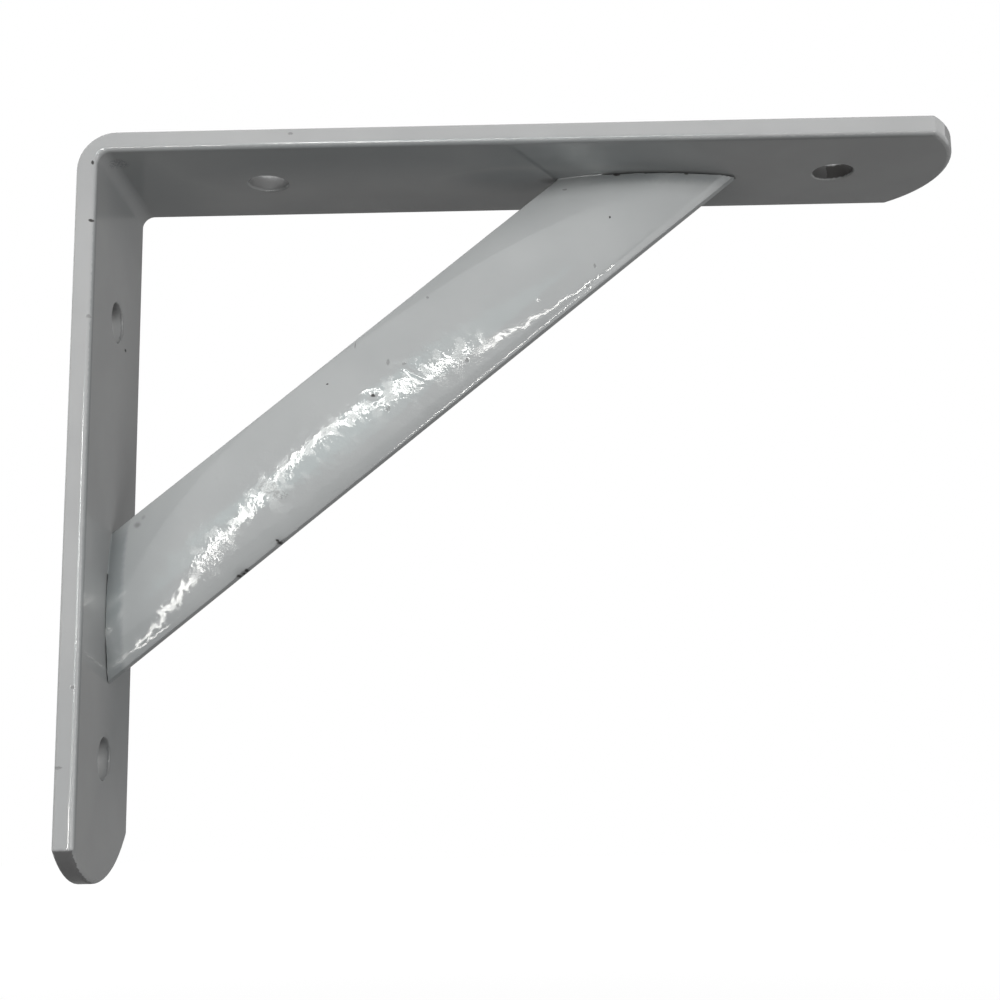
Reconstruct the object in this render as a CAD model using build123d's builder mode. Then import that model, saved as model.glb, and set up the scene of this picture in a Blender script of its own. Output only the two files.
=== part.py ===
"""Shelf bracket: a bent flat bar with a pressed, arched brace welded across its corner.

Frame, in millimetres: +X points away from the wall, +Z points up, Y runs across the bar. The origin lies on
the wall face, in the middle of the bar's width, halfway between the two wall screw holes.
"""

from build123d import *
from math import atan2, cos, sin, sqrt
import os

# Angle bar: a flat strip bent to a right angle, with rounded ends
shelf_leg = 149.5  # wall face to the tip of the shelf leg
wall_leg = 123.5  # shelf face to the tip of the wall leg
bar_width = 31.0
bar_thickness = 3.4
bend_inner_radius = 2.2
bend_outer_radius = 6.6
end_radius = 21.6  # the round tip of each leg, seen square on
end_offset = 0.4  # middle of that round, in front of the bar's middle
end_corner_radius = 0.35  # where that round meets the straight sides
inner_edge_radius = 0.85  # rolled-over edge of the sheared strip, on the inside of the angle
outer_edge_radius = 0.5

# Screw holes, two in each leg
hole_diameter = 7.0
hole_rim_radius = 0.3  # rolled-over rim, on the inside of the angle
hole_end_distance = 20.0  # tip of a leg to the centre of its outer hole
shelf_hole_spacing = 100.0
wall_hole_spacing = 75.0

# Brace: a strip pressed into a shallow arch that bulges to the front (-Y)
brace_width = 19.8
brace_thickness = 2.0
brace_arch = 2.4  # rise of the arch over its edges
brace_edge_radius = 0.7  # pressed edge, on the front
brace_crest_offset = 2.0  # crest of the arch in front of the bar's middle
brace_shelf_reach = 96.8  # wall face to the middle of the brace, under the shelf leg
brace_wall_drop = 78.4  # shelf face to the middle of the brace, at the wall leg

# Weld beads in the hollow back of the brace, one on each leg
bead_radius = 2.2
bead_end_margin = 0.6  # end of a bead to the brace's edge

# Heights and reaches that follow from the sizes above
half_width = bar_width / 2
tip_z = -wall_hole_spacing / 2 - hole_end_distance
shelf_face_z = tip_z + wall_leg
underside_z = shelf_face_z - bar_thickness
shelf_hole_middle = shelf_leg - hole_end_distance - shelf_hole_spacing / 2
front_sagitta = end_radius - sqrt(end_radius**2 - (half_width - end_offset) ** 2)
back_sagitta = end_radius - sqrt(end_radius**2 - (half_width + end_offset) ** 2)
overall_reach = shelf_leg + wall_leg

# The brace's middle line runs up from the wall leg to the shelf leg
brace_foot = Vector(bar_thickness, 0, shelf_face_z - brace_wall_drop)
brace_head = Vector(brace_shelf_reach, 0, underside_z)
brace_run = brace_head - brace_foot
brace_slope = atan2(brace_run.Z, brace_run.X)
brace_plane = Plane(
    origin=(brace_foot + brace_head) / 2,
    x_dir=(sin(brace_slope), 0, -cos(brace_slope)),
    z_dir=brace_run.normalized(),
)

# Arch of the brace: front and back are arcs about one centre
half_brace = brace_width / 2
front_radius = (half_brace**2 + brace_arch**2) / (2 * brace_arch)
back_radius = front_radius - brace_thickness
crest_y = -brace_crest_offset
arch_centre_y = crest_y + front_radius
front_edge_y = crest_y + brace_arch


def back_y(across):
    """Depth of the brace's hollow back at a distance across from its middle line."""
    return arch_centre_y - sqrt(back_radius**2 - across**2)


with BuildPart() as angle_bar:
    with BuildSketch(Plane.XZ) as bar_profile:
        with BuildLine():
            Polyline(
                (0, shelf_face_z),
                (shelf_leg, shelf_face_z),
                (shelf_leg, underside_z),
                (bar_thickness, underside_z),
                (bar_thickness, tip_z),
                (0, tip_z),
                close=True,
            )
        make_face()
        outer_corner = bar_profile.vertices().sort_by_distance((0, shelf_face_z))[0]
        fillet(outer_corner, bend_outer_radius)
        inner_corner = bar_profile.vertices().sort_by_distance((bar_thickness, underside_z))[0]
        fillet(inner_corner, bend_inner_radius)
    extrude(amount=half_width, both=True)

    # Round tip of the shelf leg, cut from above
    with BuildSketch(Plane.XY) as shelf_outline:
        with BuildLine():
            shelf_front = (shelf_leg - front_sagitta, -half_width)
            shelf_back = (shelf_leg - back_sagitta, half_width)
            ThreePointArc(shelf_front, (shelf_leg, -end_offset), shelf_back)
            Polyline(shelf_back, (0, half_width), (0, -half_width), shelf_front)
        make_face()
        fillet(shelf_outline.vertices().sort_by(Axis.X)[-2:], end_corner_radius)
    extrude(amount=overall_reach, both=True, mode=Mode.INTERSECT)

    # Round tip of the wall leg, cut from the front of the wall
    with BuildSketch(Plane.YZ) as wall_outline:
        with BuildLine():
            wall_front = (-half_width, tip_z + front_sagitta)
            wall_back = (half_width, tip_z + back_sagitta)
            ThreePointArc(wall_front, (-end_offset, tip_z), wall_back)
            Polyline(wall_back, (half_width, shelf_face_z), (-half_width, shelf_face_z), wall_front)
        make_face()
        fillet(wall_outline.vertices().sort_by(Axis.Y)[:2], end_corner_radius)
    extrude(amount=overall_reach, both=True, mode=Mode.INTERSECT)

    # Edges of the strip, right round each side of it
    flats = angle_bar.faces().filter_by(GeomType.PLANE)
    outer_flats = [flats.filter_by(Axis.Z).sort_by(Axis.Z)[-1], flats.filter_by(Axis.X).sort_by(Axis.X)[0]]
    inner_flats = [flats.filter_by(Axis.Z).sort_by(Axis.Z)[-2], flats.filter_by(Axis.X).sort_by(Axis.X)[1]]
    outer_edges = ShapeList(e for face in outer_flats for e in face.edges()).filter_by(Axis.Y, reverse=True)
    inner_edges = ShapeList(e for face in inner_flats for e in face.edges()).filter_by(Axis.Y, reverse=True)
    fillet(outer_edges, outer_edge_radius)
    fillet(inner_edges, inner_edge_radius)

    with Locations((shelf_hole_middle, 0, shelf_face_z)):
        with GridLocations(shelf_hole_spacing, bar_width, 2, 1):
            Hole(hole_diameter / 2)
    shelf_rims = angle_bar.edges(Select.LAST).filter_by(GeomType.CIRCLE).group_by(Axis.Z)[0]
    fillet(shelf_rims, hole_rim_radius)
    with Locations(Plane.YZ):
        with GridLocations(bar_width, wall_hole_spacing, 1, 2):
            Hole(hole_diameter / 2)
    wall_rims = angle_bar.edges(Select.LAST).filter_by(GeomType.CIRCLE).group_by(Axis.X)[-1]
    fillet(wall_rims, hole_rim_radius)

with BuildPart() as brace:
    with BuildSketch(brace_plane) as brace_section:
        with BuildLine():
            ThreePointArc((-half_brace, front_edge_y), (0, crest_y), (half_brace, front_edge_y))
            Line((half_brace, front_edge_y), (half_brace, back_y(half_brace)))
            ThreePointArc(
                (half_brace, back_y(half_brace)), (0, back_y(0)), (-half_brace, back_y(half_brace))
            )
            Line((-half_brace, back_y(half_brace)), (-half_brace, front_edge_y))
        make_face()
    extrude(amount=overall_reach, both=True)
    fillet(brace.edges().filter_by(Axis(brace_plane.origin, brace_run)).sort_by(Axis.Y)[:2], brace_edge_radius)

    # The ends are cut to lie flat on the two legs
    with BuildSketch(Plane.XZ) as between_legs:
        with BuildLine():
            Polyline(
                (bar_thickness, underside_z),
                (overall_reach, underside_z),
                (bar_thickness, underside_z - overall_reach),
                close=True,
            )
        make_face()
    extrude(amount=overall_reach, both=True, mode=Mode.INTERSECT)

# Everything in front of the brace's back, which the beads stay behind
with BuildPart() as bead_stop:
    with BuildSketch(brace_plane):
        with BuildLine():
            ThreePointArc(
                (-half_brace, back_y(half_brace)), (0, back_y(0)), (half_brace, back_y(half_brace))
            )
            Polyline(
                (half_brace, back_y(half_brace)),
                (half_brace, -half_width),
                (-half_brace, -half_width),
                (-half_brace, back_y(half_brace)),
            )
        make_face()
    extrude(amount=overall_reach, both=True)


def weld_bead(middle, step):
    """Bead along the joint of the brace's back and one leg, laid in the corner between them.

    middle is the brace's middle line on that leg, and step is how far the joint moves along the leg for
    each millimetre across the brace.
    """
    reach = half_brace - bead_end_margin - bead_radius
    seam_points = [middle + step * across + Vector(0, back_y(across), 0) for across in (-reach, 0, reach)]
    with BuildPart() as bead:
        with BuildLine() as seam:
            ThreePointArc(*seam_points)
        with BuildSketch(Plane(seam.line @ 0, z_dir=seam.line % 0)):
            Circle(bead_radius)
        sweep()
        with Locations(seam.line @ 0, seam.line @ 1):
            Sphere(bead_radius)
        add(angle_bar.part, mode=Mode.SUBTRACT)
        add(bead_stop.part, mode=Mode.SUBTRACT)
    return bead.part


shelf_weld = weld_bead(brace_head, Vector(1 / sin(brace_slope), 0, 0))
wall_weld = weld_bead(brace_foot, Vector(0, 0, -1 / cos(brace_slope)))

angle_bar.part.label = "angle_bar"
brace.part.label = "brace"
shelf_weld.label = "shelf_weld"
wall_weld.label = "wall_weld"

os.makedirs("parts", exist_ok=True)
export_step(angle_bar.part, "parts/angle_bar.step")
export_step(brace.part, "parts/brace.step")
export_step(shelf_weld, "parts/shelf_weld.step")
export_step(wall_weld, "parts/wall_weld.step")
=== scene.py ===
"""Grey gloss shelf bracket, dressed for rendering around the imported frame.

The frame is the same as the part's: +X points away from the wall, +Z points up and Y runs across the
bar, with the origin on the wall face halfway between its two screw holes. Lengths are in metres, written
in millimetres times MM.
"""

import logging
from dataclasses import dataclass
from enum import Enum
from typing import Any, ClassVar, Mapping, Optional, Sequence, Union

import bpy
import numpy as np
from mathutils import Matrix


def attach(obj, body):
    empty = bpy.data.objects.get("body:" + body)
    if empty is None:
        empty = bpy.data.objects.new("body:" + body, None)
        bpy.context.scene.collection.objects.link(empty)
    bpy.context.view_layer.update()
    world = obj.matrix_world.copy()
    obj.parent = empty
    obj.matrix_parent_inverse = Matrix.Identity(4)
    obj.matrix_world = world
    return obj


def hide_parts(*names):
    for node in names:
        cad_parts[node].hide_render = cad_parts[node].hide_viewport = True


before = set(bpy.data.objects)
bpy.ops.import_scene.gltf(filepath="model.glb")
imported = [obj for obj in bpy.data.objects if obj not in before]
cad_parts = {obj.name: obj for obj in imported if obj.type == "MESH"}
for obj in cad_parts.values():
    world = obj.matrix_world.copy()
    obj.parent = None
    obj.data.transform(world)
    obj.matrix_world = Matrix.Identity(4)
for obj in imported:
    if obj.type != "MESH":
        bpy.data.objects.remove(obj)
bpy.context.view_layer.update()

Array = np.ndarray
Vec3 = tuple[float, float, float]
Span = tuple[float, float]

MM = 0.001
BODY = "root"
BRACE_MIDDLE = np.array([50.0, 0.0, 25.0]) * MM
STRIP_DISTANCE = 0.45
WHITE: Vec3 = (1.0, 1.0, 1.0)
WARM: Vec3 = (1.0, 0.99, 0.95)
COOL: Vec3 = (0.6, 1.0, 1.0)
log = logging.getLogger("shelf_bracket")


class Signal:
    """One output socket, with arithmetic that adds Math nodes to its graph."""

    def __init__(self, graph: "Graph", socket: bpy.types.NodeSocket) -> None:
        """Keep the graph and the socket."""
        self.graph = graph
        self.socket = socket

    def _math(self, operation: str, *values: "Operand") -> "Signal":
        """Add a Math node that works on the given values in order."""
        return self.graph.node("ShaderNodeMath", {"operation": operation}, dict(enumerate(values)))

    def __add__(self, other: "Operand") -> "Signal":
        """Sum of two values."""
        return self._math("ADD", self, other)

    def __radd__(self, other: "Operand") -> "Signal":
        """Sum with a number on the left."""
        return self._math("ADD", other, self)

    def __sub__(self, other: "Operand") -> "Signal":
        """Difference of two values."""
        return self._math("SUBTRACT", self, other)

    def __rsub__(self, other: "Operand") -> "Signal":
        """A number minus this value."""
        return self._math("SUBTRACT", other, self)

    def __mul__(self, other: "Operand") -> "Signal":
        """Product of two values."""
        return self._math("MULTIPLY", self, other)

    def __rmul__(self, other: "Operand") -> "Signal":
        """Product with a number on the left."""
        return self._math("MULTIPLY", other, self)

    def maximum(self, other: "Operand") -> "Signal":
        """Larger of two values."""
        return self._math("MAXIMUM", self, other)

    def ramp(self, low: float, high: float) -> "Signal":
        """Smooth step between two values, either of which may be the larger.

        Args:
            low: value where the step is 0.
            high: value where the step is 1.

        Returns:
            The step.
        """
        settings = {"interpolation_type": "SMOOTHSTEP"}
        first, last = sorted((low, high))
        step = self.graph.node("ShaderNodeMapRange", settings, {0: self, 1: first, 2: last})
        return 1.0 - step if low > high else step


Operand = Union[Signal, float]
Key = Union[str, int]
Settings = Optional[Mapping[str, Any]]
Inputs = Optional[Mapping[Key, Any]]


@dataclass(frozen=True)
class Grain:
    """Noise of one size: cells to a millimetre, finer layers, and the values that count as 0 and 1."""

    scale: float
    detail: float
    span: Span = (0.0, 1.0)


class Graph:
    """Node tree of one material or world, written as Python expressions."""

    def __init__(self, owner: Union[bpy.types.Material, bpy.types.World]) -> None:
        """Empty the owner's node tree and keep it.

        Args:
            owner: the material or world.
        """
        owner.use_nodes = True
        self.tree = owner.node_tree
        self.tree.nodes.clear()

    def add(self, kind: str, settings: Settings = None, inputs: Inputs = None) -> bpy.types.Node:
        """Add one node of any kind.

        Args:
            kind: Blender's type name of the node.
            settings: the node's own properties, set before its sockets.
            inputs: a value or a Signal for each named or numbered input socket.

        Returns:
            The node.
        """
        made = self.tree.nodes.new(kind)
        for name, value in (settings or {}).items():
            setattr(made, name, value)
        for key, value in (inputs or {}).items():
            if isinstance(value, Signal):
                self.tree.links.new(value.socket, made.inputs[key])
            else:
                made.inputs[key].default_value = value
        return made

    def node(
        self, kind: str, settings: Settings = None, inputs: Inputs = None, output: Key = 0
    ) -> Signal:
        """Add one node as add does, and give its named or numbered output."""
        return Signal(self, self.add(kind, settings, inputs).outputs[output])

    def vector(self, operation: str, inputs: Inputs, output: Key = 0) -> Signal:
        """Result of a Vector Math node."""
        return self.node("ShaderNodeVectorMath", {"operation": operation}, inputs, output)

    def place(self, scale: float = 1.0 / MM) -> Signal:
        """Object coordinates, in millimetres by default."""
        raw = self.node("ShaderNodeTexCoord", output="Object")
        return self.vector("SCALE", {0: raw, "Scale": scale})

    def noise(self, where: Signal, grain: Grain, output: str = "Fac") -> Signal:
        """Noise texture of one grain."""
        inputs = {"Vector": where, "Scale": grain.scale, "Detail": grain.detail}
        return self.node("ShaderNodeTexNoise", None, inputs, output)

    def mix(self, factor: Signal, first: Any, second: Any) -> Signal:
        """Colour that goes from the first to the second as the factor goes from 0 to 1."""
        colours = {0: factor, 6: opaque(first), 7: opaque(second)}
        return self.node("ShaderNodeMix", {"data_type": "RGBA"}, colours, 2)


def opaque(colour: Any) -> Any:
    """A colour triple with its alpha added; a Signal is passed on."""
    return colour if isinstance(colour, Signal) else (*colour, 1.0)


class MarkKind(Enum):
    """What has happened to the paint at one place, or shade painted into it."""

    CHIP = "knocked off, down to dark steel"
    PIT = "small crater"
    SMUDGE = "dull rub"
    COARSE = "dried rough"
    THIN = "thin dark coat"
    # Painted shade: darker grey put into the paint where less light reaches.
    GRIME = "dusty and in shade"
    DULL = "dry overspray"


class MarkShape(Enum):
    """Form of the space that a mark takes up."""

    BLOB = "ellipsoid"
    BOX = "box"
    RING = "skin of an ellipsoid"


CHIP, PIT, SMUDGE, COARSE, THIN, GRIME, DULL = MarkKind
BLOB, BOX, RING = MarkShape


@dataclass(frozen=True)
class Mark:
    """One blemish or patch of painted shade: a space in the object's coordinates, in millimetres, that
    changes the paint in it.
    """

    kind: MarkKind
    centre: Vec3
    half_size: Vec3
    fade: float = 0.5
    shape: MarkShape = BLOB
    strength: float = 1.0
    rim: ClassVar[float] = 1.1

    def mask(self, graph: Graph, where: Signal) -> Signal:
        """The mark's strength inside its space, falling to 0 at the rim.

        The place is divided by the half sizes, so the ellipsoid is where its length is under 1, the box
        is where its largest coordinate is, and the ellipsoid's skin is where its length is about 1.

        Args:
            graph: the material's graph.
            where: place on the surface in millimetres, already ruffled.

        Returns:
            The mask.
        """
        scale = tuple(1.0 / size for size in self.half_size)
        location = tuple(-c * s for c, s in zip(self.centre, scale))
        inputs = {"Vector": where, "Location": location, "Scale": scale}
        local = graph.node("ShaderNodeMapping", None, inputs)
        reach = graph.vector("LENGTH", {0: local}, "Value")
        if self.shape is RING:
            return (reach - 1.0).maximum(1.0 - reach).ramp(self.fade, 0.0) * self.strength
        if self.shape is BOX:
            size = graph.vector("ABSOLUTE", {0: local})
            x, y, z = (graph.node("ShaderNodeSeparateXYZ", None, {0: size}, axis) for axis in range(3))
            reach = x.maximum(y).maximum(z)
        return reach.ramp(self.rim, self.rim - self.fade) * self.strength


@dataclass(frozen=True)
class Ground:
    """What the layers of one paint build on, with the place in millimetres and a mask of each kind."""

    graph: Graph
    where: Signal
    cloud: Signal
    masks: Mapping[MarkKind, Signal]


@dataclass(frozen=True)
class GlossPaint:
    """Thick grey gloss over steel, with orange peel, a few blemishes and patches of painted shade."""

    colour: Vec3 = (0.440, 0.445, 0.444)
    shade: Vec3 = (0.408, 0.412, 0.412)
    steel: Vec3 = (0.022, 0.020, 0.019)
    rub: Vec3 = (0.20, 0.20, 0.197)
    thin: Vec3 = (0.17, 0.17, 0.17)
    # The next colour is the painted shade, a darker, cooler grey put in where less light reaches.
    grime: Vec3 = (0.215, 0.235, 0.24)
    rub_share: float = 0.6
    # Share of the painted shade in the colour.
    painted_shade_share: float = 0.8
    gloss_roughness: float = 0.035
    cloud_roughness: float = 0.04
    smudge_roughness: float = 0.16
    chip_roughness: float = 0.5
    dull_roughness: float = 0.17
    dry_roughness: float = 0.18
    refraction: float = 1.5
    peel_height: float = 0.010 * MM
    pit_depth: float = 0.05 * MM
    fine_share: float = 0.5
    coarse_share: float = 1.5
    grit_share: float = 0.15
    ruffle: float = 0.5
    cloud_grain: Grain = Grain(0.06, 3.0, (0.3, 0.7))
    speck_grain: Grain = Grain(3.2, 1.0, (0.40, 0.62))
    dry_grain: Grain = Grain(0.5, 1.0, (0.50, 0.62))
    ruffle_grain: Grain = Grain(1.3, 2.0)
    broad_grain: Grain = Grain(0.22, 1.0)
    fine_grain: Grain = Grain(0.6, 2.0)
    coarse_grain: Grain = Grain(1.7, 1.0)

    def material(self, name: str, marks: Sequence[Mark]) -> bpy.types.Material:
        """Make the material.

        Args:
            name: the material's name.
            marks: blemishes of the piece that it goes on.

        Returns:
            The material.
        """
        made = bpy.data.materials.new(name)
        graph = Graph(made)
        where = graph.place()
        ruffled = self._ruffled(graph, where)
        masks = {kind: self._gather(graph, ruffled, marks, kind) for kind in MarkKind}
        ground = Ground(graph, where, graph.noise(where, self.cloud_grain), masks)
        inputs = {
            "Base Color": self._colour(ground),
            "Roughness": self._roughness(ground),
            "Normal": self._normal(ground),
            "IOR": self.refraction,
        }
        shader = graph.node("ShaderNodeBsdfPrincipled", None, inputs)
        graph.add("ShaderNodeOutputMaterial", None, {"Surface": shader})
        return made

    def _ruffled(self, graph: Graph, where: Signal) -> Signal:
        """Place with a small wobble, so that a mark has a ragged edge.

        Args:
            graph: the material's graph.
            where: place on the surface in millimetres.

        Returns:
            The place, moved by up to half the ruffle each way.
        """
        wobble = graph.noise(where, self.ruffle_grain, "Color")
        level = graph.vector("SUBTRACT", {0: wobble, 1: (0.5, 0.5, 0.5)})
        sized = graph.vector("SCALE", {0: level, "Scale": self.ruffle})
        return graph.vector("ADD", {0: where, 1: sized})

    def _gather(self, graph: Graph, where: Signal, marks: Sequence[Mark], kind: MarkKind) -> Signal:
        """Put together the masks of one kind of mark.

        Args:
            graph: the material's graph.
            where: place on the surface in millimetres, already ruffled.
            marks: marks of every kind.
            kind: the kind that is wanted.

        Returns:
            The largest of the masks, or 0 where there are none.
        """
        total = graph.node("ShaderNodeValue")
        total.socket.default_value = 0.0
        for mark in marks:
            if mark.kind is kind:
                total = total.maximum(mark.mask(graph, where))
        return total

    def _colour(self, ground: Ground) -> Signal:
        """Clouded grey, with each kind of mark over it, painted shade among them.

        Args:
            ground: what the paint builds on.

        Returns:
            The colour.
        """
        graph, masks = ground.graph, ground.masks
        smudge = masks[SMUDGE] * graph.noise(ground.where, self.speck_grain).ramp(*self.speck_grain.span)
        colour = graph.mix(ground.cloud.ramp(*self.cloud_grain.span), self.colour, self.shade)
        colour = graph.mix(smudge * self.rub_share, colour, self.rub)
        # Painted shade: darker, cooler grey where its marks lie.
        colour = graph.mix(masks[GRIME] * self.painted_shade_share, colour, self.grime)
        colour = graph.mix(masks[THIN], colour, self.thin)
        colour = graph.mix(masks[PIT] * self.rub_share, colour, self.rub)
        return graph.mix(masks[CHIP], colour, self.steel)

    def _roughness(self, ground: Ground) -> Signal:
        """Gloss that is a little uneven, and duller in some kinds of mark.

        Args:
            ground: what the paint builds on.

        Returns:
            The roughness.
        """
        masks = ground.masks
        dry = ground.graph.noise(ground.where, self.dry_grain).ramp(*self.dry_grain.span)
        roughness = ground.cloud * self.cloud_roughness + self.gloss_roughness
        roughness = roughness + masks[SMUDGE] * self.smudge_roughness
        roughness = roughness + masks[CHIP] * self.chip_roughness
        roughness = roughness + masks[DULL] * self.dull_roughness
        return roughness + masks[COARSE] * (dry * self.dry_roughness)

    def _normal(self, ground: Ground) -> Signal:
        """Orange peel of three sizes, with the pits and chips sunk into it.

        Args:
            ground: what the paint builds on.

        Returns:
            The bumped normal.
        """
        graph, where, masks = ground.graph, ground.where, ground.masks
        peel = graph.noise(where, self.broad_grain)
        peel = peel + graph.noise(where, self.fine_grain) * self.fine_share
        peel = peel + graph.noise(where, self.coarse_grain) * masks[COARSE] * self.coarse_share
        inputs = {"Strength": 1.0, "Distance": self.peel_height, "Height": peel}
        skin = graph.node("ShaderNodeBump", None, inputs)
        sunk = 1.0 - masks[PIT].maximum(masks[CHIP])
        grit = graph.noise(where, self.speck_grain) * masks[SMUDGE] * self.grit_share
        inputs = {"Strength": 1.0, "Distance": self.pit_depth, "Height": sunk + grit, "Normal": skin}
        return graph.node("ShaderNodeBump", None, inputs)


def add_object(name: str, data: bpy.types.ID) -> bpy.types.Object:
    """Make an object and link it to the scene.

    Args:
        name: the object's name.
        data: its mesh, lamp or camera.

    Returns:
        The object.
    """
    made = bpy.data.objects.new(name, data)
    bpy.context.scene.collection.objects.link(made)
    return made


def pose(*columns: Any) -> Matrix:
    """Matrix of an object, from the unit vectors of its three axes and its place."""
    turn = np.vstack([np.column_stack(columns), [0.0, 0.0, 0.0, 1.0]])
    return Matrix(turn.tolist())


def stand_in(piece: bpy.types.Object, node: str) -> bpy.types.Object:
    """Put a painted piece in the place of a packed one.

    Args:
        piece: the painted piece.
        node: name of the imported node.

    Returns:
        The same piece.
    """
    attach(piece, BODY)
    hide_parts(node)
    return piece


def tube(name: str, rings: Array, material: bpy.types.Material, sharp_angle: float) -> bpy.types.Object:
    """Closed mesh whose grid rows are rings, with one face over each end.

    Each quad joins points j and j + 1 of rings i and i + 1, and j wraps round. The signed volume of the
    quads says which way they face, and the rings are reversed where it is negative.

    Args:
        name: name of the object and its mesh.
        rings: points in an array of rings by points by three.
        material: its only material.
        sharp_angle: edges that bend more than this, in degrees, are drawn sharp.

    Returns:
        The object, linked to the scene.
    """
    ahead = np.roll(rings, -1, axis=1)
    middle = rings.reshape(-1, 3).mean(axis=0)
    spin = np.cross(ahead[:-1] - rings[:-1], rings[1:] - rings[:-1])
    if ((rings[:-1] - middle) * spin).sum() < 0.0:
        rings = rings[:, ::-1]
    rows, columns = rings.shape[:2]
    index = np.arange(rows * columns).reshape(rows, columns)
    turned = np.roll(index, -1, axis=1)
    quads = np.stack([index[:-1], turned[:-1], turned[1:], index[1:]], axis=-1).reshape(-1, 4)
    ends = [index[0][::-1].tolist(), index[-1].tolist()]
    mesh = bpy.data.meshes.new(name)
    mesh.from_pydata(rings.reshape(-1, 3).tolist(), [], quads.tolist() + ends)
    mesh.shade_smooth()
    mesh.set_sharp_from_angle(angle=np.radians(sharp_angle))
    mesh.materials.append(material)
    return add_object(name, mesh)


def smooth_step(values: Array, low: float, high: float) -> Array:
    """3t^2 - 2t^3 of t, which runs from 0 at low to 1 at high."""
    t = np.clip((values - low) / (high - low), 0.0, 1.0)
    return t * t * (3.0 - 2.0 * t)


def bell(values: Array, middle: float, width: float) -> Array:
    """exp(-((values - middle) / width)^2)."""
    return np.exp(-(((values - middle) / width) ** 2))


def pointing(ways: Array, towards: Array) -> Array:
    """Unit vectors along the given ones, turned round where they point away from a direction."""
    return ways * (np.sign(ways @ towards) / np.linalg.norm(ways, axis=1))[:, None]


@dataclass(frozen=True)
class Peel:
    """Ripple of one size in the paint, in millimetres, which may stand higher in rough paint."""

    pitch: float
    seed: int
    height: float
    rough_height: float = 0.0
    waves: ClassVar[int] = 24
    spread: ClassVar[Span] = (0.7, 1.4)

    def ripple(self, along: Array, across: Array) -> Array:
        """Smooth noise with a mean square of 1.

        It is the sum of sqrt(2 / count) cos(k . x + phase) over waves that run every way, with lengths
        that spread round the pitch.

        Args:
            along: millimetres along the strip.
            across: millimetres across it.

        Returns:
            The height of every point.
        """
        rng = np.random.default_rng(self.seed)
        heading = rng.uniform(0.0, 2.0 * np.pi, self.waves)
        number = 2.0 * np.pi / (self.pitch * rng.uniform(*self.spread, self.waves))
        phase = rng.uniform(0.0, 2.0 * np.pi, self.waves)
        turns = along[..., None] * (number * np.cos(heading))
        turns = turns + across[..., None] * (number * np.sin(heading)) + phase
        return np.cos(turns).sum(axis=-1) * np.sqrt(2.0 / self.waves)

    def lift(self, along: Array, across: Array, rough: Array) -> Array:
        """Height of the ripple, for a share of rough paint at each point."""
        return (self.height + self.rough_height * rough) * self.ripple(along, across)


@dataclass(frozen=True)
class Lump:
    """Bell of paint, in millimetres: its place on the strip, its spread both ways and its height."""

    along: float
    across: float
    length: float
    width: float
    height: float

    def lift(self, along: Array, across: Array) -> Array:
        """Height times the bell along the strip times the bell across it."""
        return self.height * bell(along, self.along, self.length) * bell(across, self.across, self.width)


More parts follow.
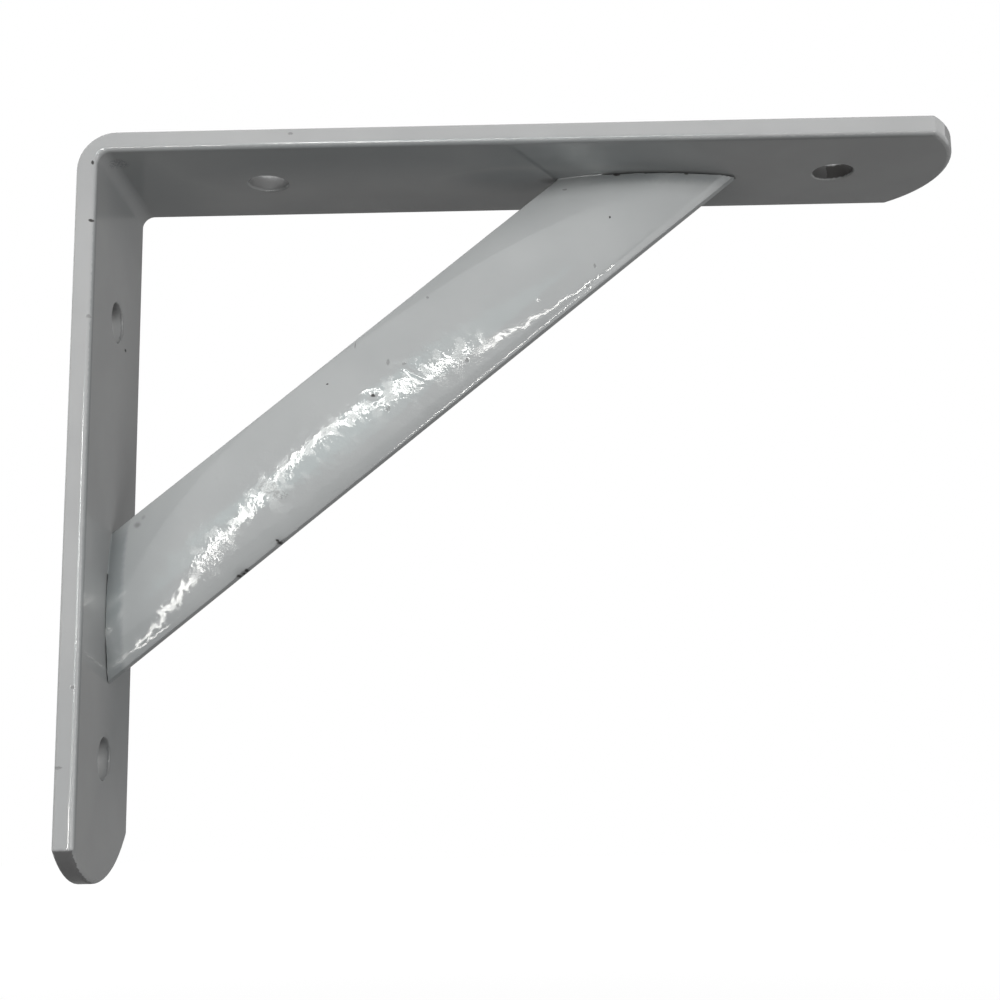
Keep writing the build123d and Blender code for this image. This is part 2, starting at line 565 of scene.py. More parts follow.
@dataclass
class AngleBar:
    """Bent flat bar with four screw holes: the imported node, with its paint."""

    node: str = "angle_bar"
    paint: GlossPaint = GlossPaint()
    marks: Sequence[Mark] = (
        Mark(CHIP, (2.7, -15.4, 60.6), (0.35, 0.5, 0.35)),
        Mark(CHIP, (2.8, -15.3, 50.4), (0.6, 0.6, 0.3)),
        Mark(PIT, (2.9, -15.3, 33.9), (0.5, 0.6, 0.35)),
        Mark(PIT, (0.6, -15.5, -38.9), (0.7, 0.5, 0.3)),
        Mark(PIT, (2.5, -15.5, -26.4), (0.5, 0.5, 0.25)),
        Mark(CHIP, (3.4, 5.3, 34.0), (0.4, 0.7, 0.3)),
        Mark(PIT, (35.8, -15.5, 65.0), (0.5, 0.5, 0.25)),
        Mark(SMUDGE, (5.6, -10.2, 62.6), (2.0, 2.0, 1.5)),
        # The wall leg's tip is darker grey on its lower end faces.
        Mark(THIN, (1.7, -8.5, -58.0), (1.35, 8.0, 6.5), 0.12, BOX),
        # Painted shade in the bores: the bore of the shelf hole nearer the wall and the upper parts of the
        # wall holes' bores are darker. The bore of the far shelf hole is near black.
        Mark(THIN, (29.5, 0.0, 64.1), (4.1, 4.1, 1.2), 0.3, BOX, 0.6),
        Mark(CHIP, (129.5, 0.0, 64.1), (4.3, 4.3, 1.3), 0.25, BOX, 0.85),
        Mark(CHIP, (131.6, 0.5, 64.1), (2.8, 4.4, 1.3), 0.3, BOX),
        Mark(THIN, (1.4, 0.6, 40.5), (2.3, 3.4, 2.6), 0.8),
        Mark(THIN, (1.4, 0.6, -34.5), (2.3, 3.4, 2.6), 0.8),
        # Thin dark rings along the far rims of the holes.
        Mark(THIN, (29.5, 0.35, 62.6), (3.35, 3.35, 1.0), 0.1, RING, 0.35),
        Mark(THIN, (3.4, 0.35, 37.5), (1.0, 3.35, 3.35), 0.1, RING, 0.5),
        Mark(THIN, (3.4, 0.35, -37.5), (1.0, 3.35, 3.35), 0.1, RING, 0.5),
        # Painted shadow: near black on the underside beside the upper corner of the brace's head.
        Mark(THIN, (79.6, 1.2, 62.6), (2.4, 1.8, 0.6), 1.0, BLOB, 0.9),
        Mark(DULL, (3.4, 0.0, 48.0), (1.2, 17.0, 16.0), 0.6, BOX),
        # Painted shade: darker, cooler grey where less light reaches. It covers the inner corner at the
        # bend, the underside on its near half and round the brace's head, the wall leg's face beside and
        # under the brace's foot, the near side of the wall leg towards its bottom, and the rounded near
        # inner edges of both legs.
        Mark(GRIME, (3.4, 0.0, 62.6), (18.0, 20.0, 16.0), 1.0, BLOB, 0.45),
        Mark(GRIME, (8.0, 0.0, 62.6), (14.0, 24.0, 0.9), 1.0, BLOB, 0.6),
        Mark(GRIME, (45.0, -14.0, 62.6), (52.0, 18.0, 0.8), 1.0, BOX, 0.75),
        Mark(GRIME, (73.0, -1.0, 62.6), (16.0, 8.0, 0.8), 1.0),
        Mark(GRIME, (82.0, -10.0, 62.6), (32.0, 11.0, 1.0), 1.0, BOX, 0.95),
        Mark(GRIME, (106.0, 9.0, 62.6), (14.0, 12.0, 0.8), 1.0, BLOB, 0.5),
        Mark(GRIME, (3.4, 10.0, -26.0), (1.2, 18.0, 24.0), 1.0, BOX, 0.7),
        Mark(GRIME, (3.4, 3.0, -24.5), (1.2, 9.0, 4.0), 1.0, BLOB, 0.5),
        Mark(GRIME, (1.7, -15.5, -50.0), (3.0, 0.6, 40.0), 1.0, BOX, 0.25),
        Mark(GRIME, (3.5, -14.8, 2.0), (0.4, 0.7, 58.0), 0.4, BOX, 0.5),
        Mark(GRIME, (75.0, -14.8, 62.5), (72.0, 0.7, 0.4), 0.4, BOX, 0.5),
    )

    def dress(self) -> bpy.types.Object:
        """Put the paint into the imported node's material slots.

        Returns:
            The node's object.
        """
        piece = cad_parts[self.node]
        paint = self.paint.material("bar_paint", self.marks)
        for slot in piece.material_slots:
            slot.material = paint
        return piece


@dataclass
class Brace:
    """Pressed strip from the wall leg up to the shelf leg, arched towards the front.

    A point is given by how far it lies along the strip from the middle of its foot, and across it from
    the middle line, positive towards the lower edge. Peel, lumps, marks, spans, the rough stretch, the
    roll and the end rows are in millimetres.
    """

    node: str = "brace"
    # Painted light: the brace's grey is a little cooler than the bar's, for the cool glow round its
    # highlight and in its shaded bands.
    paint: GlossPaint = GlossPaint(colour=(0.432, 0.445, 0.444), shade=(0.400, 0.413, 0.413))
    foot: Vec3 = (3.4 * MM, 0.0, -12.4 * MM)
    head: Vec3 = (96.8 * MM, 0.0, 62.6 * MM)
    width: float = 19.9 * MM
    thickness: float = 2.0 * MM
    arch: float = 2.4 * MM
    crest_y: float = -2.0 * MM
    edge_radius: float = 0.45 * MM
    back_edge_radius: float = 0.6 * MM
    sharp_angle: float = 50.0
    arc_steps: int = 100
    back_arc_steps: int = 25
    round_steps: int = 7
    row_pitch: float = 0.25 * MM
    end_rows: Sequence[float] = (0.0, 0.05, 0.1, 0.18, 0.28, 0.4, 0.55, 0.75)
    shelf_gap: float = 0.32 * MM
    wall_gap: float = 0.22 * MM
    shelf_slit: Span = (-5.4, -4.6)
    wall_slit: Span = (-4.6, -4.0)
    wall_slit_bell: Span = (-3.7, 0.7)
    wall_slit_end: Span = (4.0, 6.0)
    skirt: float = 0.28 * MM
    shelf_skirt: Span = (-5.8, -5.0)
    wall_skirt: Span = (-4.9, -4.3)
    peel: Sequence[Peel] = (
        Peel(6.0, 3, 0.003),
        Peel(3.4, 5, 0.002, 0.003),
        Peel(1.15, 8, 0.0012, 0.0008),
    )
    rough_middle: float = 0.8
    rough_width: float = 4.5
    rough_start: Span = (10.0, 30.0)
    rough_stop: Span = (66.0, 84.0)
    roll_start: float = 7.7
    roll_length: float = 2.2
    roll_depth: float = 0.22
    crater: Lump = Lump(57.2, 0.4, 0.8, 0.55, -0.12)
    ridges: Sequence[Lump] = (
        Lump(56.9, -1.35, 1.0, 0.4, 0.06),
        Lump(57.3, 1.7, 1.0, 0.25, 0.04),
        Lump(56.6, 2.5, 1.2, 0.32, 0.04),
    )
    slant: Lump = Lump(64.2, 1.8, 0.3, 1.8, 0.04)
    slant_rate: float = 0.42
    bites: Sequence[Lump] = (Lump(29.0, 10.0, 0.8, 0.8, -0.30), Lump(20.6, 10.0, 1.1, 0.9, -0.30))
    dust: Sequence[Lump] = tuple(
        Lump(along, across, 0.35, 0.35, 0.05)
        for along, across in ((52.6, -6.6), (48.4, -2.4), (83.5, -0.9), (90.2, 5.2), (28.0, -5.5))
    )
    marks: Sequence[Mark] = (
        Mark(CHIP, (48.2, -2.0, 23.1), (0.45, 0.8, 0.33), 0.7),
        Mark(PIT, (50.8, -1.6, 20.7), (0.35, 0.6, 0.5)),
        Mark(CHIP, (40.2, -1.1, 25.5), (0.22, 0.5, 0.18)),
        Mark(PIT, (57.6, -0.7, 40.8), (0.25, 0.6, 0.25)),
        Mark(PIT, (44.9, -0.1, 32.6), (0.16, 0.9, 0.75)),
        Mark(PIT, (50.8, -1.9, 29.0), (0.3, 0.6, 0.7)),
        Mark(PIT, (53.6, -2.0, 28.6), (0.4, 0.6, 0.3)),
        Mark(PIT, (64.4, -1.1, 29.2), (0.5, 0.6, 0.4)),
        Mark(SMUDGE, (30.4, -1.9, 7.5), (2.0, 1.5, 1.4)),
        Mark(SMUDGE, (32.4, -1.9, 6.2), (1.7, 1.5, 1.0)),
        Mark(PIT, (82.0, -0.8, 60.2), (0.45, 0.6, 0.25)),
        Mark(CHIP, (89.7, -1.9, 54.4), (0.2, 0.5, 0.25)),
        Mark(PIT, (86.9, -0.8, 45.9), (0.3, 0.6, 0.45)),
        Mark(PIT, (85.6, 0.0, 42.5), (0.3, 0.6, 0.25)),
        Mark(THIN, (7.9, -0.6, 1.6), (0.8, 1.2, 0.8), 1.0, BLOB, 0.6),
        Mark(THIN, (8.9, -0.6, 2.9), (0.5, 1.2, 0.6), 1.0, BLOB, 0.4),
        Mark(CHIP, (32.3, 0.5, -1.85), (0.65, 1.2, 0.45)),
        Mark(CHIP, (31.75, 0.5, -1.45), (0.4, 1.2, 0.28)),
        Mark(CHIP, (33.0, 0.5, -1.5), (0.5, 1.2, 0.26)),
        Mark(CHIP, (25.5, 0.6, -7.4), (0.75, 1.2, 0.46)),
        Mark(CHIP, (26.1, 0.6, -6.95), (0.7, 1.2, 0.42)),
        Mark(CHIP, (26.65, 0.6, -6.5), (0.65, 1.2, 0.42)),
        Mark(COARSE, (21.0, -1.0, -2.5), (7.0, 5.0, 7.0), 0.7),
        Mark(COARSE, (31.0, -1.3, 8.5), (9.0, 5.0, 9.0), 0.6),
        Mark(COARSE, (41.0, -1.4, 18.0), (9.0, 5.0, 9.0), 0.6),
        Mark(COARSE, (52.0, -1.4, 24.5), (9.0, 5.0, 9.0), 0.6),
        Mark(COARSE, (62.0, -1.0, 30.0), (8.0, 5.0, 8.0), 0.7),
        # Painted shade: darker, cooler grey beside the wall leg at the foot and under the shelf leg at the
        # head, where the legs shade the strip.
        Mark(GRIME, (3.4, 0.0, -12.0), (3.4, 6.0, 16.0), 0.5, BOX),
        Mark(GRIME, (3.4, 0.0, -12.0), (15.0, 6.0, 22.0), 1.0, BOX, 0.4),
        Mark(GRIME, (101.0, 0.0, 62.6), (18.0, 6.0, 2.3), 0.7, BOX, 0.8),
        Mark(DULL, (91.0, -1.0, 60.0), (20.0, 6.0, 9.0), 0.8),
        Mark(DULL, (3.4, -1.0, -12.0), (4.0, 6.0, 16.0), 1.0, BOX),
        Mark(CHIP, (106.0, 0.0, 62.6), (15.0, 6.0, 0.25), 0.4, BOX, 0.8),
        Mark(CHIP, (91.2, -1.6, 62.3), (0.8, 1.0, 0.35)),
        Mark(CHIP, (103.4, -1.3, 62.4), (0.5, 1.0, 0.3)),
    )

    @property
    def front_radius(self) -> float:
        """Radius of the front arc, (w^2 / 4 + h^2) / 2h for the width w and the arch's rise h."""
        return ((self.width / 2) ** 2 + self.arch**2) / (2.0 * self.arch)

    @property
    def back_radius(self) -> float:
        """Radius of the hollow back."""
        return self.front_radius - self.thickness

    @property
    def centre_y(self) -> float:
        """Place in y of the centre of both arcs."""
        return self.crest_y + self.front_radius

    def axes(self) -> tuple[Array, Array, float]:
        """Directions of the strip.

        Returns:
            Unit vectors along and across the strip, and its length on the middle line.
        """
        run = np.subtract(self.head, self.foot)
        length = float(np.linalg.norm(run))
        along = run / length
        return along, np.array([along[2], 0.0, -along[0]]), length

    def _corner(self, reach: float, round_radius: float) -> tuple[float, float, float]:
        """Rounding between an arc about the arch's centre and the strip's side.

        The rounding's centre lies one rounding radius inside the side and the arc.

        Args:
            reach: distance of the rounding's centre from the arch's centre.
            round_radius: radius of the rounding.

        Returns:
            The centre's place across and below the arch's centre, and the angle where the arc starts.
        """
        across = self.width / 2 - round_radius
        drop = np.sqrt(reach**2 - across**2)
        return across, float(drop), float(np.arcsin(across / reach))

    def _front(self) -> tuple[Array, Array]:
        """Front of the section: round the lower edge, along the arc and round the upper edge.

        Each part is its centre plus its radius times (sin a, -cos a).

        Returns:
            Across and y of each point, and its outward direction in the same plane.
        """
        reach = self.front_radius - self.edge_radius
        across, drop, turn = self._corner(reach, self.edge_radius)
        rounding = np.linspace(np.pi / 2, turn, self.round_steps)
        arc = np.linspace(turn, -turn, self.arc_steps + 1)[1:-1]
        angle = np.concatenate([rounding, arc, -rounding[::-1]])
        on_edge = np.repeat([True, False, True], [self.round_steps, arc.size, self.round_steps])
        size = np.where(on_edge, self.edge_radius, self.front_radius)
        shift = np.where(on_edge, np.sign(angle) * across, 0.0)
        sink = np.where(on_edge, drop, 0.0)
        facing = np.column_stack([np.sin(angle), -np.cos(angle)])
        return np.column_stack([shift, self.centre_y - sink]) + facing * size[:, None], facing

    def _back(self) -> tuple[Array, Array]:
        """Back of the section: round the upper edge, along the hollow and round the lower edge.

        Each part is its centre plus its radius times (sin a, -cos a). The upper edge mirrors the lower.

        Returns:
            Across and y of each point, and its outward direction in the same plane.
        """
        reach = self.back_radius + self.back_edge_radius
        across, drop, turn = self._corner(reach, self.back_edge_radius)
        mirror = np.array([-1.0, 1.0])
        rounding = np.linspace(np.pi / 2, np.pi - turn, self.round_steps)
        arc = np.linspace(-turn, turn, self.back_arc_steps + 1)[1:-1]
        corner = np.column_stack([np.sin(rounding), -np.cos(rounding)])
        low = np.array([across, self.centre_y - drop]) + corner * self.back_edge_radius
        hollow = np.column_stack([np.sin(arc), -np.cos(arc)])
        inner = np.array([0.0, self.centre_y]) + hollow * self.back_radius
        points = np.concatenate([low * mirror, inner, low[::-1]])
        return points, np.concatenate([corner * mirror, -hollow, corner[::-1]])

    def outline(self) -> tuple[Array, Array, Array]:
        """Section of the strip, as one closed ring.

        Returns:
            Across and y of each point, its outward direction in the same plane, and 1 on the front.
        """
        front, front_facing = self._front()
        back, back_facing = self._back()
        is_front = np.concatenate([np.ones(len(front)), np.zeros(len(back))])
        return np.concatenate([front, back]), np.concatenate([front_facing, back_facing]), is_front

    def _gaps(self, across: Array) -> tuple[Array, Array]:
        """How far the front stands off each leg.

        The paint bridges both joints near the upper edge. Below it the slits open and close as
        0.75 + 0.25 sin(2.1 n) cos(0.7 n + 0.4), for n millimetres across. The slit at the wall has 0.45
        of its width, with 0.55 more in a bell where it starts and 0.5 more at its lower end.

        Args:
            across: place across the strip, in metres.

        Returns:
            The gaps at the wall leg and at the shelf leg, in metres.
        """
        n = across / MM
        waver = 0.75 + 0.25 * np.sin(2.1 * n) * np.cos(0.7 * n + 0.4)
        share = 0.45 + 0.55 * bell(n, *self.wall_slit_bell) + 0.5 * smooth_step(n, *self.wall_slit_end)
        wall = smooth_step(n, *self.wall_slit) * share
        shelf = smooth_step(n, *self.shelf_slit)
        return wall * waver * self.wall_gap, shelf * waver * self.shelf_gap

    def _fillet(self, distance: Array) -> Array:
        """Quarter round of paint: r - sqrt(r^2 - (r - d)^2) within r of a leg, and 0 beyond it."""
        inside = np.clip(self.skirt - distance, 0.0, self.skirt)
        return self.skirt - np.sqrt(self.skirt**2 - inside**2)

    def _skirts(self, across: Array, to_wall: Array, to_shelf: Array) -> Array:
        """Paint drawn up into the corners, where the joints are bridged.

        Args:
            across: place across the strip, in metres.
            to_wall: distance from the wall leg.
            to_shelf: distance from the shelf leg.

        Returns:
            Heights in metres.
        """
        n = across / MM
        on_wall = (1.0 - smooth_step(n, *self.wall_skirt)) * self._fillet(to_wall)
        return on_wall + (1.0 - smooth_step(n, *self.shelf_skirt)) * self._fillet(to_shelf)

    def _relief(self, along: Array, across: Array) -> Array:
        """Height of the paint over the pressed steel.

        Three sizes of ripple make the orange peel, and they stand higher in the rough stretch along the
        crest. The crater, dust and bites are lumps, and ridges of paint run beside the crater and slant
        away above it. The lower edge rolls off by its depth times t^2, with t from 0 where it starts
        to 1 at its length.

        Args:
            along: millimetres along the strip.
            across: millimetres across it.

        Returns:
            Heights in millimetres.
        """
        rough = bell(across, self.rough_middle, self.rough_width) * smooth_step(along, *self.rough_start)
        rough = rough * (1.0 - smooth_step(along, *self.rough_stop))
        lift = self.slant.lift(along - self.slant_rate * across, across)
        for wave in self.peel:
            lift = lift + wave.lift(along, across, rough)
        for lump in (self.crater, *self.ridges, *self.bites, *self.dust):
            lift = lift + lump.lift(along, across)
        rolled = np.clip(across - self.roll_start, 0.0, None) / self.roll_length
        return lift - self.roll_depth * rolled**2

    def _steps(self, length: float) -> Array:
        """Places of the rings, from 0 at the foot to 1 at the head, close together at both ends.

        Args:
            length: the strip's length on its middle line.

        Returns:
            The places in order.
        """
        close = np.array(self.end_rows) * MM / length
        count = int((length - 2.0 * self.end_rows[-1] * MM) / self.row_pitch)
        middle = np.linspace(close[-1], 1.0 - close[-1], count + 1)[1:-1]
        return np.concatenate([close, middle, 1.0 - close[::-1]])

    def rings(self) -> Array:
        """Points of the strip, one ring of the section at each step along it.

        A point at across n runs from where it meets the wall leg, -n tan a, to where it meets the shelf
        leg, length + n / tan a, for the slope a, less the gaps. The front then moves outwards by the
        paint's relief and skirts.

        Returns:
            Rings by points by three.
        """
        forward, sideways, length = self.axes()
        cosine, sine = forward[0], forward[2]
        section, facing, is_front = self.outline()
        across = section[:, 0]
        wall_gap, shelf_gap = self._gaps(across)
        start = -across * sine / cosine + is_front * wall_gap / cosine
        stop = length + across * cosine / sine - is_front * shelf_gap / sine
        along = start + (stop - start) * self._steps(length)[:, None]
        to_wall = (along - start) * cosine + is_front * wall_gap
        to_shelf = (stop - along) * sine + is_front * shelf_gap
        wide = np.broadcast_to(across, along.shape)
        lift = self._relief(along / MM, wide / MM) * MM + self._skirts(wide, to_wall, to_shelf)
        lift = lift * is_front
        points = np.asarray(self.foot) + along[..., None] * forward
        points = points + (across + facing[:, 0] * lift)[..., None] * sideways
        points[..., 1] += section[:, 1] + facing[:, 1] * lift
        return points

    def build(self) -> bpy.types.Object:
        """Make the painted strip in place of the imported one."""
        paint = self.paint.material("brace_paint", self.marks)
        return stand_in(tube("painted_brace", self.rings(), paint, self.sharp_angle), self.node)


class Leg(Enum):
    """Leg of the angle that an end of the brace stands on; the value is the direction off that leg."""

    WALL = (1.0, 0.0, 0.0)
    SHELF = (0.0, 0.0, -1.0)


@dataclass
class WeldBead:
    """Rippled bead in the corner between the brace's hollow back and one leg."""

    node: str
    brace: Brace
    leg: Leg
    seed: int
    radius: float = 2.05 * MM
    reach: float = 9.0 * MM
    ripple_pitch: float = 1.15 * MM
    ripple_depth: float = 0.16
    ripple_bow: float = 0.9
    sway: float = 0.25
    sway_rate: float = 0.9
    wander: float = 0.06
    wander_rate: float = 0.55
    blunt_end: float = 0.004
    rows: int = 220
    points: int = 26
    sharp_angle: float = 70.0
    paint: GlossPaint = GlossPaint()

    def _seam(self, across: Array) -> tuple[Array, Array]:
        """Line where the hollow back, y = c - sqrt(r^2 - n^2) for n across, meets the leg.

        Args:
            across: place of each point across the brace.

        Returns:
            The points, and the direction that the hollow back faces at each.
        """
        forward, sideways, length = self.brace.axes()
        cosine, sine = forward[0], forward[2]
        on_shelf = self.leg is Leg.SHELF
        slide = across * cosine / sine + length if on_shelf else -across * sine / cosine
        seam = np.asarray(self.brace.foot) + slide[:, None] * forward + across[:, None] * sideways
        depth = np.sqrt(self.brace.back_radius**2 - across**2)
        seam[:, 1] = self.brace.centre_y - depth
        inward = depth[:, None] * np.array([0.0, 1.0, 0.0]) - across[:, None] * sideways
        return seam, inward / self.brace.back_radius

    def _sizes(self, across: Array, bow: Array) -> Array:
        """Radius of the bead, which wanders and is laid in overlapping scales.

        Each scale is 1 - depth (1 - phase)^2 for a phase that restarts at each ripple, and bows forward
        in its middle. The ends are rounded by sqrt(1 - t^6), with t from -1 to 1 along the bead.

        Args:
            across: place of each ring across the brace.
            bow: place of each point round its ring, from 0 to 1.

        Returns:
            Rings by points.
        """
        rng = np.random.default_rng(self.seed)
        n = across / MM
        shift = self.sway * np.sin(n * self.sway_rate + rng.uniform(0.0, 6.0))
        phase = (across + self.reach) / self.ripple_pitch + shift
        wander = 1.0 + self.wander * np.sin(n * self.wander_rate + rng.uniform(0.0, 6.0))
        phase = np.mod(phase[:, None] + self.ripple_bow * bow * (1.0 - bow), 1.0)
        scales = 1.0 - self.ripple_depth * (1.0 - phase) ** 2
        t = np.linspace(-1.0, 1.0, self.rows)
        ends = np.sqrt(np.clip(1.0 - t**6, self.blunt_end, 1.0))
        return self.radius * scales * (ends * wander)[:, None]

    def rings(self) -> Array:
        """Points of the bead: quarter rounds from the leg to the back, closed behind by the seam itself.

        Returns:
            Rings by points by three.
        """
        across = np.linspace(-self.reach, self.reach, self.rows)
        bow = np.linspace(0.0, 1.0, self.points)
        seam, inward = self._seam(across)
        tangent = np.gradient(seam, axis=0)
        off_leg = np.array(self.leg.value)
        on_leg = pointing(np.cross(tangent, off_leg), np.array([0.0, 1.0, 0.0]))
        up_back = pointing(np.cross(tangent, inward), off_leg)
        angle = (bow * np.pi / 2)[None, :, None]
        round_way = np.cos(angle) * on_leg[:, None] + np.sin(angle) * up_back[:, None]
        arc = seam[:, None] + self._sizes(across, bow)[..., None] * round_way
        return np.concatenate([arc, seam[:, None]], axis=1)

    def build(self) -> bpy.types.Object:
        """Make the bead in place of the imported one."""
        paint = self.paint.material(f"{self.node}_paint", ())
        return stand_in(tube(f"painted_{self.node}", self.rings(), paint, self.sharp_angle), self.node)


@dataclass(frozen=True)
class Bearing:
    """Direction from the brace's middle, in degrees: azimuth turns from -Y towards +X."""

    azimuth: float
    elevation: float

    def point(self, distance: float) -> Array:
        """Place in this direction, which is (sin a cos e, -cos a cos e, sin e).

        Args:
            distance: how far it is from the brace's middle.

        Returns:
            The place.
        """
        a, e = np.radians([self.azimuth, self.elevation])
        way = np.array([np.sin(a) * np.cos(e), -np.cos(a) * np.cos(e), np.sin(e)])
        return BRACE_MIDDLE + way * distance


class LampRole(Enum):
    """Which part of the paint's look a lamp takes part in."""

    BOTH = "shade and shine"
    SHADE = "even light on the colour"
    SHINE = "reflection in the gloss"


@dataclass(frozen=True)
class Panel:
    """Flat lamp whose long side runs between two bearings; its radiance is what a mirror would show."""

    name: str
    start: Bearing
    end: Bearing
    width: float
    radiance: float
    distance: float = 0.8
    colour: Vec3 = WHITE
    role: LampRole = LampRole.BOTH

    def build(self) -> bpy.types.Object:
        """Make the lamp, facing the brace, with a power of pi times its radiance times its area.

        Returns:
            The lamp's object.
        """
        first, last = self.start.point(self.distance), self.end.point(self.distance)
        middle = (first + last) / 2
        x = last - first
        length = float(np.linalg.norm(x))
        x /= length
        z = middle - BRACE_MIDDLE
        z -= x * (z @ x)
        z /= np.linalg.norm(z)
        lamp = bpy.data.lights.new(self.name, "AREA")
        lamp.shape = "RECTANGLE"
        lamp.size = length
        lamp.size_y = self.width
        lamp.energy = self.radiance * np.pi * length * self.width
        lamp.color = self.colour
        made = add_object(self.name, lamp)
        made.matrix_world = pose(x, np.cross(z, x), z, middle)
        made.visible_camera = False
        made.visible_glossy = self.role is not LampRole.SHADE
        made.visible_diffuse = self.role is not LampRole.SHINE
        return made


def strip(name: str, start: Span, end: Span, width: float, radiance: float, colour: Vec3 = WARM) -> Panel:
    """Near lamp that shows only as a reflection in the gloss; its ends are azimuth and elevation."""
    ends = Bearing(*start), Bearing(*end)
    return Panel(name, *ends, width, radiance, STRIP_DISTANCE, colour, LampRole.SHINE)


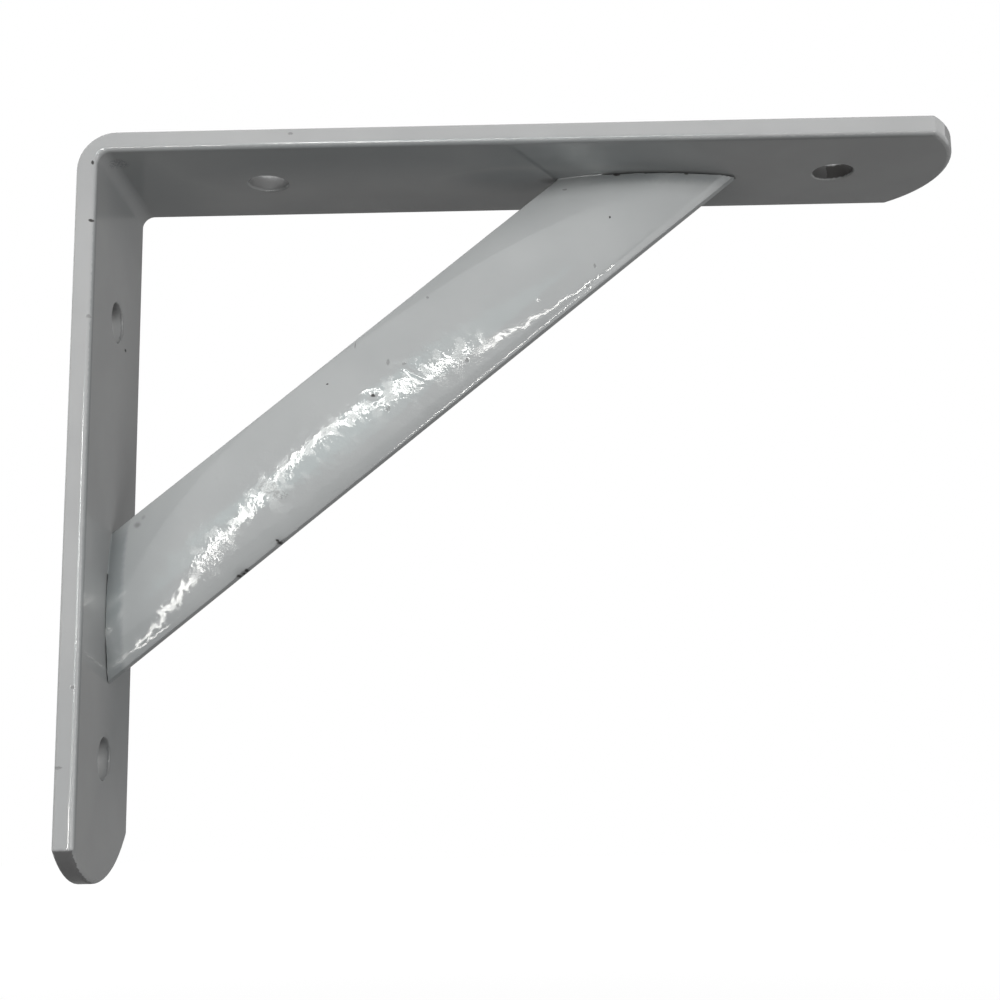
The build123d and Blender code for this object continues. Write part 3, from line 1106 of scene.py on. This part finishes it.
@dataclass
class Studio:
    """Pale floor, soft lamps, two grey cards that only the gloss sees, and the camera."""

    floor_z: float = -0.33
    floor_size: float = 8.0
    floor_colour: Vec3 = (0.22, 0.22, 0.22)
    floor_glow: float = 0.9
    floor_fade: Span = (0.8, 2.4)
    ambient: float = 0.12
    card_level: float = 0.25
    card_left: float = -0.7
    card_right: float = 0.9
    card_front: float = -0.9
    card_back: float = 0.6
    card_top: float = 0.6
    card_lift: float = 0.01
    eye: Vec3 = (71.987 * MM, -241.11 * MM, -37.944 * MM)
    yaw: float = -0.550
    pitch: float = 10.060
    roll: float = 0.949
    lens: float = 51.75
    sensor_width: float = 36.0
    clip_start: float = 0.01
    lamps: Sequence[Panel] = (
        Panel("key_broad", Bearing(-47.0, 14.0), Bearing(35.0, 14.0), 0.74, 1.38, role=LampRole.SHADE),
        Panel("key_core", Bearing(-15.0, 12.0), Bearing(-3.0, 12.0), 0.17, 24.5, role=LampRole.SHADE),
        strip("strip_1", (13.5, -42.0), (4.0, -26.0), 0.007, 20.0),
        strip("strip_2", (4.0, -26.0), (-2.5, -12.0), 0.010, 20.0),
        strip("strip_3", (-2.5, -12.0), (-10.8, 11.8), 0.021, 21.0),
        strip("strip_4", (-10.8, 11.8), (-5.5, 10.6), 0.021, 21.0),
        strip("strip_5", (-5.5, 10.6), (13.6, -1.8), 0.021, 21.0),
        strip("strip_6", (13.6, -1.8), (23.0, -8.2), 0.009, 20.0),
        strip("strip_7", (23.0, -8.2), (46.0, -18.0), 0.005, 26.0),
        strip("strip_8", (46.5, -40.0), (50.5, -23.0), 0.006, 30.0),
        strip("strip_9", (13.5, -42.0), (22.0, -46.0), 0.006, 20.0),
        strip("edge_strip", (-20.5, -12.0), (-14.0, -12.0), 0.03, 30.0),
        strip("low_halo", (0.0, -8.0), (-10.8, 11.8), 0.15, 0.7, COOL),
        strip("side_halo", (-10.8, 11.8), (17.0, -5.0), 0.15, 0.7, COOL),
        Panel("right_fill", Bearing(45.0, -12.0), Bearing(85.0, -12.0), 0.5, 1.7),
        Panel("far_fill", Bearing(100.0, -18.0), Bearing(160.0, -18.0), 0.5, 0.6, role=LampRole.SHADE),
        Panel("back_fill", Bearing(195.0, 28.0), Bearing(255.0, 28.0), 0.6, 1.4),
    )

    def _sheet(self, name: str, corners: Sequence[Vec3], material: bpy.types.Material) -> bpy.types.Object:
        """One flat quad that belongs to the studio.

        Args:
            name: name of the object and its mesh.
            corners: its four corners in order.
            material: its only material.

        Returns:
            The object.
        """
        mesh = bpy.data.meshes.new(name)
        mesh.from_pydata(corners, [], [(0, 1, 2, 3)])
        mesh.materials.append(material)
        made = add_object(name, mesh)
        return made

    def _seen(self, graph: Graph) -> Signal:
        """Tell rays that show a surface from rays that gather its light.

        Args:
            graph: graph of a material or the world.

        Returns:
            1 for camera, glossy and transmission rays, and 0 for the rest.
        """
        path = graph.add("ShaderNodeLightPath")
        names = ("Is Camera Ray", "Is Glossy Ray", "Is Transmission Ray")
        camera, glossy, through = (Signal(graph, path.outputs[name]) for name in names)
        return camera.maximum(glossy).maximum(through)

    def floor(self) -> bpy.types.Object:
        """Pale floor that looks white but throws little light back up, and keeps shadows.

        Returns:
            The floor's object.
        """
        made = bpy.data.materials.new("studio_floor")
        graph = Graph(made)
        matt = graph.node("ShaderNodeBsdfDiffuse", None, {"Color": opaque(self.floor_colour)})
        reach = graph.vector("LENGTH", {0: graph.place(1.0)}, "Value")
        level = reach.ramp(*self.floor_fade) * (1.0 - self.floor_glow) + self.floor_glow
        glow = graph.node("ShaderNodeEmission", None, {"Strength": self._seen(graph) * level})
        both = graph.node("ShaderNodeAddShader", None, {0: matt, 1: glow})
        graph.add("ShaderNodeOutputMaterial", None, {"Surface": both})
        half, z = self.floor_size / 2, self.floor_z
        corners = [(-half, -half, z), (half, -half, z), (half, half, z), (-half, half, z)]
        return self._sheet("floor", corners, made)

    def cards(self) -> None:
        """Grey cards behind and below the bracket, which only the gloss of the paint sees."""
        made = bpy.data.materials.new("studio_card")
        graph = Graph(made)
        glow = graph.node("ShaderNodeEmission", None, {"Strength": self.card_level})
        graph.add("ShaderNodeOutputMaterial", None, {"Surface": glow})
        low = self.floor_z + self.card_lift
        fold = [(self.card_left, self.card_back, low), (self.card_right, self.card_back, low)]
        top = [(x, y, self.card_top) for x, y, _ in fold[::-1]]
        near = [(self.card_left, self.card_front, low), (self.card_right, self.card_front, low)]
        for name, corners in (("card_behind", fold + top), ("card_below", near + fold[::-1])):
            piece = self._sheet(name, corners, made)
            piece.visible_camera = False
            piece.visible_diffuse = False
            piece.visible_shadow = False

    def world(self) -> None:
        """White to the camera and in reflections, and dim as a light."""
        made = bpy.data.worlds.new("studio_world")
        graph = Graph(made)
        strength = self._seen(graph) * (1.0 - self.ambient) + self.ambient
        sky = graph.node("ShaderNodeBackground", None, {"Color": opaque(WHITE), "Strength": strength})
        graph.add("ShaderNodeOutputWorld", None, {"Surface": sky})
        bpy.context.scene.world = made

    def camera(self) -> bpy.types.Object:
        """Camera at the photograph's place.

        Yaw turns from +Y towards +X and pitch lifts the view. Roll dips the right side of the picture.

        Returns:
            The camera's object.
        """
        yaw, pitch, roll = np.radians([self.yaw, self.pitch, self.roll])
        ahead = np.array([np.sin(yaw) * np.cos(pitch), np.cos(yaw) * np.cos(pitch), np.sin(pitch)])
        level = np.array([np.cos(yaw), -np.sin(yaw), 0.0])
        down = np.cross(ahead, level)
        right = np.cos(roll) * level + np.sin(roll) * down
        data = bpy.data.cameras.new("photo_camera")
        data.sensor_width = self.sensor_width
        data.lens = self.lens
        data.clip_start = self.clip_start
        made = add_object("photo_camera", data)
        made.matrix_world = pose(right, np.cross(right, ahead), -ahead, self.eye)
        bpy.context.scene.camera = made
        return made

    def build(self) -> None:
        """Set up everything round the bracket."""
        bpy.context.scene.view_settings.view_transform = "Standard"
        self.world()
        self.floor()
        self.cards()
        for lamp in self.lamps:
            lamp.build()
        self.camera()


def main() -> None:
    """Build the bracket's pieces and the studio, in order."""
    logging.basicConfig(level=logging.INFO, format="%(name)s: %(message)s")
    brace = Brace()
    pieces = [
        AngleBar().dress(),
        brace.build(),
        WeldBead("shelf_weld", brace, Leg.SHELF, 11).build(),
        WeldBead("wall_weld", brace, Leg.WALL, 12).build(),
    ]
    for piece in pieces:
        log.info("%s has %d faces", piece.name, len(piece.data.polygons))
    Studio().build()


if __name__ == "__main__":
    main()
